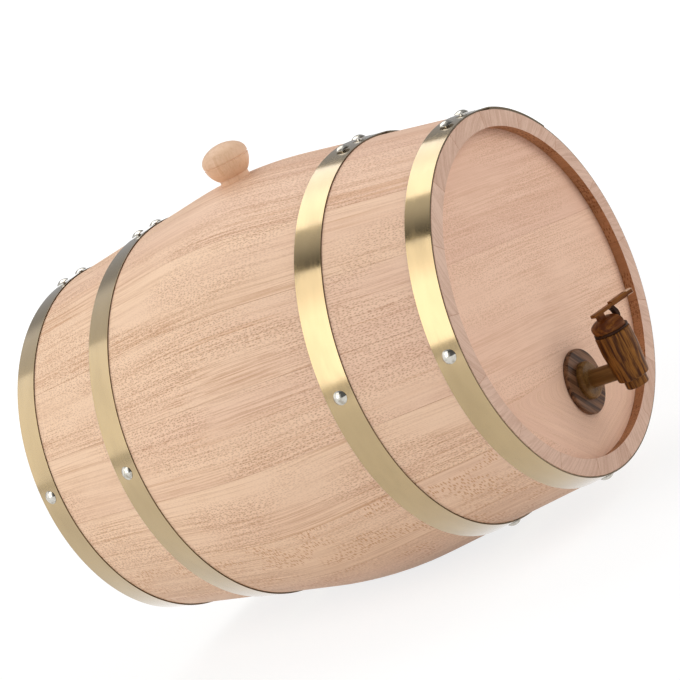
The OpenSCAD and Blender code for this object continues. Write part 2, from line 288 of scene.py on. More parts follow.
studio = {
    "sky": 0.52,                    # the even light from all round
    "ceiling": (0.10, 1.0),         # what polished metal sees overhead, from the left to the right
    "ceilingEdge": (0.60, 0.80),    # how far up that begins
    "ceilingFade": (-0.40, -0.02),  # and how far to the right it brightens
    "darkSide": 0.45,               # what metal sees towards the unlit side of the room
    "darkSideEdge": (0.34, 0.50),
    "darkFront": 0.16,              # and behind the camera
    "darkFrontEdge": (-0.35, -0.10),
}


def background(tree, strength):
    node = addNode(tree, "ShaderNodeBackground")
    feed(tree, node.inputs["Strength"], strength)
    return node.outputs[0]


def makeWorld():
    world = bpy.data.worlds.new("studioSky")
    bpy.context.scene.world = world
    world.use_nodes = True
    tree = world.node_tree
    tree.nodes.clear()
    way = addNode(tree, "ShaderNodeTexCoord")
    parts = addNode(tree, "ShaderNodeSeparateXYZ")
    tree.links.new(way.outputs["Generated"], parts.inputs[0])
    overhead = ranged(tree, parts.outputs[2], *studio["ceilingEdge"])
    faded = ranged(tree, parts.outputs[0], *studio["ceilingFade"], *studio["ceiling"])
    ceiling = addUp(tree, 1.0, times(tree, overhead, addUp(tree, faded, -1.0)))
    side = ranged(tree, parts.outputs[0], *studio["darkSideEdge"], 1, studio["darkSide"])
    front = ranged(tree, parts.outputs[1], *studio["darkFrontEdge"], studio["darkFront"], 1)
    room = mathNode(tree, "MINIMUM", mathNode(tree, "MINIMUM", ceiling, side), front)
    path = addNode(tree, "ShaderNodeLightPath")
    forMetal = addNode(tree, "ShaderNodeMixShader")
    tree.links.new(path.outputs["Is Glossy Ray"], forMetal.inputs[0])
    tree.links.new(background(tree, studio["sky"]), forMetal.inputs[1])
    tree.links.new(background(tree, room), forMetal.inputs[2])
    forCamera = addNode(tree, "ShaderNodeMixShader")
    seen = mathNode(tree, "MAXIMUM", path.outputs["Is Camera Ray"], path.outputs["Is Transmission Ray"])
    tree.links.new(seen, forCamera.inputs[0])
    tree.links.new(forMetal.outputs[0], forCamera.inputs[1])
    tree.links.new(background(tree, 1.0), forCamera.inputs[2])
    output = addNode(tree, "ShaderNodeOutputWorld")
    tree.links.new(forCamera.outputs[0], output.inputs["Surface"])


def seenDirectly(tree):
    # 1 for camera, glossy and transmission rays, 0 for the rest
    path = addNode(tree, "ShaderNodeLightPath")
    either = mathNode(tree, "MAXIMUM", path.outputs["Is Camera Ray"], path.outputs["Is Glossy Ray"])
    return mathNode(tree, "MAXIMUM", either, path.outputs["Is Transmission Ray"])


floorSettings = {
    "size": 60.0,
    "colour": 0.85,      # what it throws back onto the object
    "glow": 0.80,        # its own white where it is looked at
    "shade": 0.24,       # the share that still takes the object's shadow there
    "near": 0.35,        # metres from the middle at which it begins to fade into the white backdrop
    "far": 1.8,
}


def makeFloor():
    deselectAll()
    bpy.ops.mesh.primitive_plane_add(size=floorSettings["size"], location=(0, 0, 0))
    floor = bpy.context.object
    floor.name = "floor"
    applyPlace(floor)
    material, tree, shader = newMaterial("paleFloor")
    seen = seenDirectly(tree)
    level = ranged(tree, seen, 0, 1, floorSettings["colour"], floorSettings["shade"])
    colour = addNode(tree, "ShaderNodeCombineColor")
    for socket in colour.inputs:
        tree.links.new(level, socket)
    tree.links.new(colour.outputs[0], shader.inputs["Base Color"])
    setInputs(shader, {"Roughness": 1, "Specular IOR Level": 0, "Emission Color": (1, 1, 1, 1)})
    distance = addNode(tree, "ShaderNodeVectorMath", operation="LENGTH")
    tree.links.new(addNode(tree, "ShaderNodeTexCoord").outputs["Object"], distance.inputs[0])
    glow = ranged(tree, distance.outputs["Value"], floorSettings["near"], floorSettings["far"],
                  floorSettings["glow"], 1)
    tree.links.new(times(tree, seen, glow), shader.inputs["Emission Strength"])
    floor.data.materials.append(material)


# shader building blocks

def addNode(tree, kind, **settings):
    node = tree.nodes.new(kind)
    for key, value in settings.items():
        setattr(node, key, value)
    return node


def setInputs(node, values):
    for name, value in values.items():
        node.inputs[name].default_value = value


def feed(tree, socket, value):
    if isinstance(value, (int, float, tuple)):
        socket.default_value = value
    else:
        tree.links.new(value, socket)


def mathNode(tree, operation, first, second):
    node = addNode(tree, "ShaderNodeMath", operation=operation)
    feed(tree, node.inputs[0], first)
    feed(tree, node.inputs[1], second)
    return node.outputs[0]


def times(tree, first, second):
    return mathNode(tree, "MULTIPLY", first, second)


def clamped(tree, value):
    # kept between 0 and 1
    return mathNode(tree, "MAXIMUM", mathNode(tree, "MINIMUM", value, 1.0), 0.0)


def addUp(tree, *values):
    total = values[0]
    for value in values[1:]:
        total = mathNode(tree, "ADD", total, value)
    return total


def mixColours(tree, share, first, second):
    node = addNode(tree, "ShaderNodeMix", data_type="RGBA")
    for index, value in ((0, share), (6, first), (7, second)):
        feed(tree, node.inputs[index], value)
    return node.outputs[2]


def stretched(tree, place, stretch):
    # a place multiplied by so many cycles a metre each way
    node = addNode(tree, "ShaderNodeVectorMath", operation="MULTIPLY")
    tree.links.new(place, node.inputs[0])
    node.inputs[1].default_value = stretch
    return node.outputs[0]


def noiseAt(tree, place, stretch, detail=2.0, roughness=0.5, distortion=0.0):
    node = addNode(tree, "ShaderNodeTexNoise")
    setInputs(node, {"Scale": 1, "Detail": detail, "Roughness": roughness, "Distortion": distortion})
    tree.links.new(stretched(tree, place, stretch), node.inputs["Vector"])
    return node.outputs["Fac"]


def ranged(tree, value, low, high, outLow=0.0, outHigh=1.0):
    node = addNode(tree, "ShaderNodeMapRange", interpolation_type="SMOOTHSTEP")
    tree.links.new(value, node.inputs["Value"])
    setInputs(node, {"From Min": low, "From Max": high, "To Min": outLow, "To Max": outHigh})
    return node.outputs["Result"]


def spotsAt(tree, place, cells, core, edge):
    # one spot in each cell, 1 inside and 0 outside
    node = addNode(tree, "ShaderNodeTexVoronoi", feature="F1", voronoi_dimensions="2D")
    setInputs(node, {"Scale": 1, "Randomness": 0.85})
    tree.links.new(stretched(tree, place, cells), node.inputs["Vector"])
    return ranged(tree, node.outputs["Distance"], core, edge, 1.0, 0.0)


def readAttribute(tree, name, output="Fac"):
    node = addNode(tree, "ShaderNodeAttribute", attribute_type="GEOMETRY", attribute_name=name)
    return node.outputs[output]


def newMaterial(name):
    material = bpy.data.materials.new(name)
    material.use_nodes = True
    return material, material.node_tree, material.node_tree.nodes["Principled BSDF"]


def addBump(tree, shader, height, strength, distance):
    bump = addNode(tree, "ShaderNodeBump")
    setInputs(bump, {"Strength": strength, "Distance": distance})
    tree.links.new(height, bump.inputs["Height"])
    tree.links.new(bump.outputs[0], shader.inputs["Normal"])


def makeGroup(name, inputs, outputs):
    group = bpy.data.node_groups.new(name, "ShaderNodeTree")
    for socketName, kind, value in inputs:
        socket = group.interface.new_socket(socketName, in_out="INPUT", socket_type="NodeSocket" + kind)
        if value is not None:
            socket.default_value = value
    for socketName, kind in outputs:
        group.interface.new_socket(socketName, in_out="OUTPUT", socket_type="NodeSocket" + kind)
    entry = addNode(group, "NodeGroupInput")
    leave = addNode(group, "NodeGroupOutput")
    return group, entry.outputs, leave.inputs


# how fine each mark of the pale wood is: cycles a metre across, along and through the grain
grainScales = {
    "drift": (8, 7, 8), "bands": (60, 2.2, 60), "rings": (330, 4, 330), "lines": (1500, 11, 1500),
    "dashes": (1500, 330, 1500), "crispAreas": (34, 9, 34), "dottedAreas": (27, 10, 31),
    "mottle": (90, 40, 90), "pinkAreas": (24, 3, 24), "streaks": (300, 4.5, 300),
    "streakAreas": (30, 6, 30), "fleckAreas": (60, 24, 60), "flecks": (230, 620, 230),
    "pores": (950, 420, 950), "endRings": (620, 4, 60), "endBands": (110, 4, 60),
    "endDots": (1500, 10, 1500),
}
driftWidth = (0.005, 0.0, 0.005)  # metres that a line wanders from its straight course


def makeGrainGroup():
    # planed pale wood: broad bands, fine lines, rows of pores and ray flecks
    tree, given, out = makeGroup(
        "paleWoodGrain",
        [("Place", "Vector", None), ("Tone", "Float", 0.0), ("Warmth", "Float", 0.0),
         ("Light", "Color", (0.8, 0.6, 0.4, 1)), ("Dark", "Color", (0.5, 0.3, 0.2, 1)),
         ("Pink", "Color", (0.7, 0.5, 0.4, 1)), ("Streak", "Color", (0.7, 0.4, 0.2, 1)),
         ("Pore", "Color", (0.3, 0.15, 0.08, 1)), ("Lines", "Float", 0.5), ("Pores", "Float", 0.5),
         ("Flecks", "Float", 0.0), ("Streaks", "Float", 0.5)],
        [("Color", "Color"), ("Height", "Float"), ("Mask", "Float")])
    place, scales = given["Place"], grainScales
    drift = addNode(tree, "ShaderNodeTexNoise")
    setInputs(drift, {"Scale": 1, "Detail": 1})
    tree.links.new(stretched(tree, place, scales["drift"]), drift.inputs["Vector"])
    bent = addNode(tree, "ShaderNodeVectorMath", operation="ADD")
    tree.links.new(place, bent.inputs[0])
    tree.links.new(stretched(tree, drift.outputs["Color"], driftWidth), bent.inputs[1])
    grain = bent.outputs[0]
    bands = noiseAt(tree, grain, scales["bands"], 2)
    rings = noiseAt(tree, grain, scales["rings"], 2, 0.6)
    lines = noiseAt(tree, grain, scales["lines"], 2, 0.65)
    dashes = noiseAt(tree, grain, scales["dashes"], 1)
    crisp = ranged(tree, noiseAt(tree, place, scales["crispAreas"], 1), 0.36, 0.58, 0.25, 1.0)
    dotted = ranged(tree, noiseAt(tree, place, scales["dottedAreas"], 1), 0.38, 0.56, 0.15, 1.0)
    mottle = noiseAt(tree, place, scales["mottle"], 3, 0.65)
    lineShare = addUp(tree, times(tree, ranged(tree, lines, 0.34, 0.66, -0.55, 0.75), crisp),
                      ranged(tree, rings, 0.36, 0.66, -0.14, 0.20),
                      times(tree, ranged(tree, dashes, 0.3, 0.7, -0.35, 0.35), dotted))
    amount = addUp(tree, ranged(tree, bands, 0.28, 0.72, 0.0, 0.24), times(tree, lineShare, given["Lines"]),
                   ranged(tree, mottle, 0.3, 0.7, -0.08, 0.10), given["Tone"])
    amount = clamped(tree, amount)
    colour = mixColours(tree, amount, given["Light"], given["Dark"])
    pinkness = ranged(tree, noiseAt(tree, grain, scales["pinkAreas"], 1), 0.35, 0.7, 0, 0.5)
    pinkness = clamped(tree, addUp(tree, pinkness, given["Warmth"]))
    colour = mixColours(tree, pinkness, colour, mixColours(tree, 0.5, colour, given["Pink"]))
    # a few long orange-brown streaks
    narrow = ranged(tree, noiseAt(tree, grain, scales["streaks"], 2, 0.6), 0.54, 0.68)
    area = ranged(tree, noiseAt(tree, place, scales["streakAreas"], 1), 0.48, 0.62)
    streak = times(tree, times(tree, narrow, area), given["Streaks"])
    colour = mixColours(tree, streak, colour, given["Streak"])
    # ray flecks: short ticks across the grain
    fleckArea = ranged(tree, noiseAt(tree, place, scales["fleckAreas"], 2), 0.46, 0.58)
    fleck = times(tree, spotsAt(tree, place, scales["flecks"], 0.20, 0.34), fleckArea)
    fleck = times(tree, fleck, given["Flecks"])
    colour = mixColours(tree, fleck, colour, given["Streak"])
    # pores stand in rows, thick in some bands and thin in others
    rows = times(tree, ranged(tree, lines, 0.30, 0.50, 0.25, 1.0), dotted)
    pores = times(tree, spotsAt(tree, grain, scales["pores"], 0.16, 0.36), rows)
    pores = times(tree, pores, given["Pores"])
    colour = mixColours(tree, pores, colour, given["Pore"])
    tree.links.new(colour, out["Color"])
    tree.links.new(mathNode(tree, "SUBTRACT", times(tree, lines, -0.4), pores), out["Height"])
    tree.links.new(pores, out["Mask"])
    return tree


def makePaleWood(name, values):
    material, tree, shader = newMaterial(name)
    grain = addNode(tree, "ShaderNodeGroup", node_tree=grainGroup)
    if values.get("onObject"):
        turned = addNode(tree, "ShaderNodeMapping")
        turned.inputs["Rotation"].default_value = (math.radians(90), 0, 0)
        tree.links.new(addNode(tree, "ShaderNodeTexCoord").outputs["Object"], turned.inputs["Vector"])
        tree.links.new(turned.outputs[0], grain.inputs["Place"])
    else:
        tree.links.new(readAttribute(tree, "grainPlace", "Vector"), grain.inputs["Place"])
        tree.links.new(readAttribute(tree, "boardTone"), grain.inputs["Tone"])
        tree.links.new(readAttribute(tree, "boardWarmth"), grain.inputs["Warmth"])
    sockets = ("Light", "Dark", "Pink", "Streak", "Pore", "Lines", "Pores", "Flecks", "Streaks")
    setInputs(grain, {socket: values[socket] for socket in sockets})
    tree.links.new(grain.outputs["Color"], shader.inputs["Base Color"])
    rough = ranged(tree, grain.outputs["Mask"], 0, 1, values["rough"], values["rough"] + 0.2)
    tree.links.new(rough, shader.inputs["Roughness"])
    shader.inputs["Specular IOR Level"].default_value = values["shine"]
    addBump(tree, shader, grain.outputs["Height"], values["bump"], 0.15 * mm)
    return material


stavePalette = {"Light": (0.90, 0.64, 0.45, 1), "Dark": (0.62, 0.355, 0.205, 1),
                "Pink": (0.74, 0.47, 0.37, 1), "Streak": (0.60, 0.30, 0.14, 1), "Pore": (0.42, 0.21, 0.12, 1)}
paleWoods = {
    "staveWood": {**stavePalette, "Lines": 0.85, "Pores": 0.6, "Flecks": 0.0, "Streaks": 0.35,
                  "rough": 0.5, "shine": 0.3, "bump": 0.4},
    "fleckedWood": {**stavePalette, "Lines": 0.6, "Pores": 0.35, "Flecks": 0.8, "Streaks": 0.3,
                    "rough": 0.5, "shine": 0.3, "bump": 0.4},
    "headWood": {"Light": (0.80, 0.535, 0.39, 1), "Dark": (0.60, 0.345, 0.22, 1),
                 "Pink": (0.68, 0.42, 0.32, 1), "Streak": (0.55, 0.29, 0.17, 1),
                 "Pore": (0.42, 0.24, 0.15, 1), "Lines": 0.5, "Pores": 0.4, "Flecks": 0.0, "Streaks": 0.15,
                 "rough": 0.55, "shine": 0.25, "bump": 0.35},
    "bungWood": {"Light": (0.78, 0.52, 0.35, 1), "Dark": (0.62, 0.37, 0.20, 1),
                 "Pink": (0.72, 0.45, 0.33, 1), "Streak": (0.60, 0.32, 0.16, 1),
                 "Pore": (0.45, 0.24, 0.13, 1), "Lines": 0.3, "Pores": 0.15, "Flecks": 0.0, "Streaks": 0.3,
                 "rough": 0.42, "shine": 0.4, "bump": 0.15},
    # the staves' inner faces in the recess beyond each head: a much darker wood, painted shade for the shade
    # inside the recess
    "recessPaintedShadeWood": {"Light": (0.52, 0.25, 0.12, 1), "Dark": (0.30, 0.12, 0.045, 1),
                   "Pink": (0.36, 0.16, 0.07, 1), "Streak": (0.20, 0.07, 0.02, 1),
                   "Pore": (0.12, 0.04, 0.015, 1), "Lines": 0.5, "Pores": 0.5, "Flecks": 0.7, "Streaks": 0.5,
                   "rough": 0.55, "shine": 0.25, "bump": 0.3},
    "dowelWood": {**stavePalette, "Lines": 0.5, "Pores": 0.4, "Flecks": 0.0, "Streaks": 0.3,
                  "rough": 0.5, "shine": 0.3, "bump": 0.3, "onObject": True},
}


def makeEndGrain(name, light, dark):
    # sawn ends: rings that slant by another angle in each board, with dots between them
    material, tree, shader = newMaterial(name)
    parts = addNode(tree, "ShaderNodeSeparateXYZ")
    tree.links.new(readAttribute(tree, "grainPlace", "Vector"), parts.inputs[0])
    slant = times(tree, addUp(tree, readAttribute(tree, "boardWarmth"), -0.1), 3.5)
    across = addUp(tree, parts.outputs[0], times(tree, parts.outputs[2], slant))
    turned = addNode(tree, "ShaderNodeCombineXYZ")
    for socket, value in zip(turned.inputs, (across, parts.outputs[1], parts.outputs[2])):
        tree.links.new(value, socket)
    place = turned.outputs[0]
    rings = noiseAt(tree, place, grainScales["endRings"], 2, 0.6)
    broad = noiseAt(tree, place, grainScales["endBands"], 2)
    dots = noiseAt(tree, place, grainScales["endDots"], 2, 0.6)
    amount = addUp(tree, ranged(tree, rings, 0.38, 0.62, 0, 0.34), ranged(tree, broad, 0.3, 0.7, 0, 0.22),
                   ranged(tree, dots, 0.4, 0.7, 0, 0.2), readAttribute(tree, "boardTone"))
    amount = clamped(tree, amount)
    tree.links.new(mixColours(tree, amount, light, dark), shader.inputs["Base Color"])
    tree.links.new(ranged(tree, dots, 0.3, 0.7, 0.55, 0.75), shader.inputs["Roughness"])
    shader.inputs["Specular IOR Level"].default_value = 0.2
    addBump(tree, shader, rings, 0.3, 0.15 * mm)
    return material


def makeBrass(name, values):
    material, tree, shader = newMaterial(name)
    place = readAttribute(tree, "grainPlace", "Vector")  # across the strip, along it and through it
    rolled = noiseAt(tree, place, (2600, 8, 2600), 2, 0.6)
    clouds = noiseAt(tree, place, (60, 22, 60), 3, 0.6)
    tarnish = ranged(tree, clouds, 0.35, 0.75, 0, 0.6)
    tree.links.new(mixColours(tree, tarnish, values["bright"], values["dull"]), shader.inputs["Base Color"])
    setInputs(shader, {"Metallic": 1, "Coat Weight": values["lacquer"], "Coat Roughness": 0.1})
    rough = addUp(tree, ranged(tree, rolled, 0.3, 0.7, values["rough"] - 0.03, values["rough"] + 0.04),
                  ranged(tree, clouds, 0.4, 0.7, 0, 0.06))
    tree.links.new(rough, shader.inputs["Roughness"])
    height = addUp(tree, times(tree, rolled, 0.2), clouds)
    addBump(tree, shader, height, values["bump"], 0.3 * mm)
    return material


brassFinishes = {
    "brass": {"bright": (0.465, 0.342, 0.175, 1), "dull": (0.39, 0.282, 0.14, 1), "rough": 0.13, "bump": 0.12,
              "lacquer": 1.0},
    # the strips' edge faces: a dark finish, painted shade for the line of shade along the hoops' edges
    "brassEdgePaintedShade": {"bright": (0.16, 0.11, 0.06, 1), "dull": (0.08, 0.055, 0.03, 1), "rough": 0.4, "bump": 0.2,
                  "lacquer": 0.2},
}


def makeSteel(name):
    material, tree, shader = newMaterial(name)
    place = addNode(tree, "ShaderNodeTexCoord").outputs["Object"]
    wear = noiseAt(tree, place, (420, 420, 420), 3, 0.6)
    bright, dull = (0.62, 0.60, 0.55, 1), (0.42, 0.39, 0.33, 1)
    tree.links.new(mixColours(tree, ranged(tree, wear, 0.4, 0.7), bright, dull), shader.inputs["Base Color"])
    shader.inputs["Metallic"].default_value = 1
    tree.links.new(ranged(tree, wear, 0.3, 0.7, 0.10, 0.22), shader.inputs["Roughness"])
    return material


def makeDarkWood(name, values):
    # oiled striped wood: dark and olive bands along the grain, with fine pores
    material, tree, shader = newMaterial(name)
    place = readAttribute(tree, "grainPlace", "Vector")
    stripes = noiseAt(tree, place, values["stripe"], 3, 0.6, 0.2)
    fine = noiseAt(tree, place, (1900, 60, 1900), 2, 0.6)
    colour = mixColours(tree, ranged(tree, stripes, 0.36, 0.60), values["dark"], values["light"])
    colour = mixColours(tree, ranged(tree, fine, 0.45, 0.70, 0, 0.6), colour, values["vein"])
    tree.links.new(colour, shader.inputs["Base Color"])
    rough = ranged(tree, fine, 0.3, 0.7, values["rough"] - 0.05, values["rough"] + 0.1)
    tree.links.new(rough, shader.inputs["Roughness"])
    shader.inputs["Specular IOR Level"].default_value = 0.14
    addBump(tree, shader, addUp(tree, fine, times(tree, stripes, 0.5)), 0.25, 0.12 * mm)
    return material


darkWoods = {
    "flangeWood": {"dark": (0.038, 0.014, 0.006, 1), "light": (0.22, 0.105, 0.052, 1),
                   "vein": (0.08, 0.035, 0.018, 1), "stripe": (430, 10, 430), "rough": 0.36},
    "stemWood": {"dark": (0.13, 0.055, 0.012, 1), "light": (0.24, 0.12, 0.034, 1),
                 "vein": (0.10, 0.042, 0.012, 1), "stripe": (200, 12, 200), "rough": 0.34},
    "tapWood": {"dark": (0.055, 0.015, 0.003, 1), "light": (0.25, 0.098, 0.018, 1),
                "vein": (0.05, 0.015, 0.004, 1), "stripe": (620, 42, 620), "rough": 0.42},
    "keyWood": {"dark": (0.085, 0.019, 0.003, 1), "light": (0.21, 0.072, 0.011, 1),
                "vein": (0.06, 0.018, 0.005, 1), "stripe": (260, 24, 260), "rough": 0.36},
    # the key's leg and its hidden plug: a nearly black wood, painted shade standing in for the shadow on the
    # leg's inner side
    "legPaintedShadeWood": {"dark": (0.018, 0.005, 0.002, 1), "light": (0.045, 0.014, 0.004, 1),
                "vein": (0.012, 0.004, 0.002, 1), "stripe": (260, 24, 260), "rough": 0.42},
    "keyTipWood": {"dark": (0.50, 0.31, 0.20, 1), "light": (0.66, 0.46, 0.33, 1),
                   "vein": (0.40, 0.22, 0.13, 1), "stripe": (430, 30, 430), "rough": 0.45},
}

makeCamera()
for lightName in lightSettings:
    makeLight(lightName)
makeWorld()
makeFloor()
print("camera, lights and floor are set")

grainGroup = makeGrainGroup()
materials = {name: makePaleWood(name, values) for name, values in paleWoods.items()}
materials.update({name: makeDarkWood(name, values) for name, values in darkWoods.items()})
materials.update({name: makeBrass(name, values) for name, values in brassFinishes.items()})
materials["staveEnd"] = makeEndGrain("staveEnd", (0.68, 0.475, 0.37, 1), (0.44, 0.26, 0.185, 1))
materials["steel"] = makeSteel("steel")
print("materials are made")


# sizes that all pieces share

cask = {
    "length": 310 * mm,
    "bellyRadius": 126 * mm,
    "rimRadius": 107 * mm,
    "bendHalf": 35 * mm,        # the staves are bent this far each way, and straight beyond
    "staves": 17,
    "staveThickness": 10 * mm,
    "headRecess": 7 * mm,
}
half = cask["length"] / 2
axisHeight = cask["bellyRadius"]
topHeight = 2 * axisHeight
pitch = 2 * math.pi / cask["staves"]
bend = (cask["bellyRadius"] - cask["rimRadius"]) / (cask["bendHalf"] * (half - cask["bendHalf"] / 2))
endSlope = math.atan(bend * cask["bendHalf"])
headY = half - cask["headRecess"]


def staveRadius(y):
    y = abs(y)
    if y < cask["bendHalf"]:
        return cask["bellyRadius"] - bend * y * y / 2
    return cask["bellyRadius"] - bend * cask["bendHalf"] * (y - cask["bendHalf"] / 2)


def aroundCask(co):
    # angle from the top towards the left side, and distance from the axis
    x, z = co.x, co.z - axisHeight
    return math.atan2(-x, z), math.hypot(x, z)


def caskTurn(angle):
    # a turn round the cask's axis, from the top towards the left side
    toAxis = Matrix.Translation((0, 0, axisHeight))
    return toAxis @ Matrix.Rotation(-angle, 4, "Y") @ toAxis.inverted()


def onStave(y, angle):
    # from a piece's own frame, with Z up, to the outer face of a stave at y and angle
    tilt = endSlope if y < 0 else -endSlope
    seat = Matrix.Translation((0, y, axisHeight + staveRadius(y))) @ Matrix.Rotation(tilt, 4, "X")
    return caskTurn(angle) @ seat


def unevenNumbers(count, seed):
    # repeatable uneven values from 0 to 1
    values = [math.sin((i + 1) * 12.9898 + seed * 78.233) * 43758.5453 for i in range(count)]
    return [value - math.floor(value) for value in values]


# staves

staveLook = {
    "stations": 44,          # steps along the stave
    "arcSteps": 10,          # steps across it
    "ease": 0.22 * mm,       # rounding of its long edges
    "grooveWidth": 5 * mm,
    "grooveDepth": 4 * mm,
    "seed": 7,
    # how dark and how pink some staves are, by number
    "tones": {1: 0.10, 2: 0.12, 3: -0.06, 4: -0.10, 5: -0.04, 6: -0.06, 7: 0.0, 8: 0.06},
    "warmths": {1: 0.35, 2: 0.30, 3: 0.0, 4: 0.15, 5: 0.2, 6: -0.15, 7: 0.0, 8: 0.1},
    "toneSpread": 0.26,      # how far the other staves differ
    "warmthSpread": 0.6,
    "lean": 0.16,            # how much darker a stave is at its lower edge than at its upper one
    "blush": 2.4,            # and how much pinker towards the front, per metre
    "seamPaintedShade": 0.7,         # painted shade: how dark the shadow line painted along a seam is
    "seamWidth": 0.15 * mm,
    "flecked": (7, 8, 9, 13),  # staves cut so that their rays show
}
bungLook = {
    "radius": 9 * mm, "taper": 1.2 * mm, "depth": 14 * mm, "fit": 0.06 * mm, "foot": 3 * mm,
    "flare": 0.6 * mm, "knobRadius": 14.1 * mm, "knobLow": 11.2 * mm, "knobTop": 8.6 * mm,
    "scoreHeight": 9.4 * mm, "score": 0.5 * mm, "tone": -0.05,
}


def staveSection():
    # the section along the stave at the top: outer face, rear end, inner face and front end
    thick = cask["staveThickness"]
    ys = [half * (2 * i / staveLook["stations"] - 1) for i in range(staveLook["stations"] + 1)]
    grooveIn = headY - staveLook["grooveWidth"]
    grooveFloor = staveRadius(headY) - thick + staveLook["grooveDepth"]
    rear = [(half, staveRadius(half) - thick), (headY, staveRadius(headY) - thick), (headY, grooveFloor),
            (grooveIn, grooveFloor), (grooveIn, staveRadius(grooveIn) - thick)]
    middle = [(y, staveRadius(y) - thick) for y in reversed(ys) if abs(y) < grooveIn - 1 * mm]
    front = [(-y, radius) for y, radius in reversed(rear)]
    outline = [(y, staveRadius(y)) for y in ys] + rear + middle + front
    return [(0, y, axisHeight + radius) for y, radius in outline]


def makeStaveModel():
    stave = fillOutline(staveSection())
    bpy.ops.mesh.spin(steps=staveLook["arcSteps"], angle=pitch, center=(0, 0, axisHeight), axis=(0, 1, 0))
    leaveEdit()
    cleanMesh(stave)
    angles = [aroundCask(vertex.co)[0] for vertex in stave.data.vertices]
    moveBy(stave, caskTurn(-(min(angles) + max(angles)) / 2))
    softenEdges(stave, staveLook["ease"])
    return stave


def bungRadiusAt(depth):
    return bungLook["radius"] - bungLook["taper"] * depth / bungLook["depth"]


def boreBungHole(stave):
    spare = 1 * mm
    deep = cask["staveThickness"] + spare
    low, high = (bungRadiusAt(depth) + bungLook["fit"] for depth in (deep, -spare))
    cutAway(stave, addRound(64, low, high, deep + spare, topHeight + (spare - deep) / 2))
    shadeFlats(stave)


def paintStave(stave, wood):
    # faces inside the recess get the darker recess wood, painted shade for the recess
    usePieceMaterials(stave, wood, "staveEnd", "recessPaintedShadeWood")
    margin = 2 * mm
    wall = staveRadius(half) - cask["staveThickness"] + margin
    for face in stave.data.polygons:
        atEnd = abs(face.center.y) > half - 0.5 * mm and abs(face.normal.y) > 0.6
        inRecess = abs(face.center.y) > headY and aroundCask(face.center)[1] < wall
        face.material_index = 1 if atEnd else 2 if inRecess else 0


def makeStaves():
    model = makeStaveModel()
    tones = unevenNumbers(cask["staves"], staveLook["seed"])
    warmths = unevenNumbers(cask["staves"], staveLook["seed"] + 5)
    for i in range(cask["staves"]):
        node = "bung_stave" if i == 0 else "stave_%d" % (i + 1)
        stave = copyOf(model, node + "_wood")
        shift = Vector((i * 0.37, i * 0.91, 0))  # so that no two staves share their grain

        def place(co):
            angle, radius = aroundCask(co)
            return Vector((angle * staveRadius(0), co.y, radius - staveRadius(co.y))) + shift

        def tone(co):
            angle, radius = aroundCask(co)
            level = staveLook["tones"].get(i + 1, staveLook["toneSpread"] * (tones[i] - 0.5))
            # the dark line along each seam is painted shade for the crease between staves
            atSeam = (pitch / 2 - abs(angle)) * radius < staveLook["seamWidth"]
            return level + staveLook["lean"] * angle / pitch + (staveLook["seamPaintedShade"] if atSeam else 0)

        def warmth(co):
            level = staveLook["warmths"].get(i + 1, staveLook["warmthSpread"] * (warmths[i] - 0.4))
            return level - staveLook["blush"] * co.y

        storeGrain(stave, place, tone, warmth)
        if i == 0:
            boreBungHole(stave)
        moveBy(stave, caskTurn(i * pitch))
        paintStave(stave, "fleckedWood" if i + 1 in staveLook["flecked"] else "staveWood")
        finishPiece(stave, "cask", "stave_wood", node)
    bpy.data.objects.remove(model)
    print("staves are made")


makeStaves()


# heads

headLook = {
    "fit": 0.05 * mm,
    "thickness": 12 * mm,
    "tongue": 5 * mm,
    "bevel": 3.5 * mm,
    "middleBoard": 68 * mm,
    "frontTurn": -11,         # degrees that the boards' seams slope
    "rearTurn": 6,
    "ease": 0.18 * mm,
    "tones": {"upper": 0.16, "middle": -0.10, "lower": -0.02},
    "warmths": {"upper": 0.45, "middle": 0.0, "lower": 0.15},
}
headRadius = staveRadius(headY) - cask["staveThickness"] + staveLook["grooveDepth"] - headLook["fit"]
mouthRadius = staveRadius(headY) - cask["staveThickness"] - headLook["fit"]


def makeHeadBlank():
    # lies at the origin with its outer face at z = 0 and its inner face above
    tongue = headLook["tongue"]
    blank = addRound(160, headRadius, headRadius, tongue, tongue / 2)
    applyPlace(blank)
    edit(blank)
    selectFaces(blank, lambda centre, normal: normal.z > 0.9)
    bpy.ops.mesh.inset(thickness=headRadius - mouthRadius, depth=0)
    lift = (0, 0, headLook["thickness"] - tongue)
    bpy.ops.mesh.extrude_region_move(TRANSFORM_OT_translate={"value": lift})
    scale = (mouthRadius - headLook["bevel"]) / mouthRadius
    bpy.ops.transform.resize(value=(scale, scale, 1))
    leaveEdit()
    return blank


def sawOff(piece, height, keepAbove):
    # saws a head blank along x at y = height and keeps one side
    edit(piece)
    bpy.ops.mesh.select_all(action="SELECT")
    bpy.ops.mesh.bisect(plane_co=(0, height, 0), plane_no=(0, 1, 0), use_fill=True,
                        clear_inner=keepAbove, clear_outer=not keepAbove)
    leaveEdit()


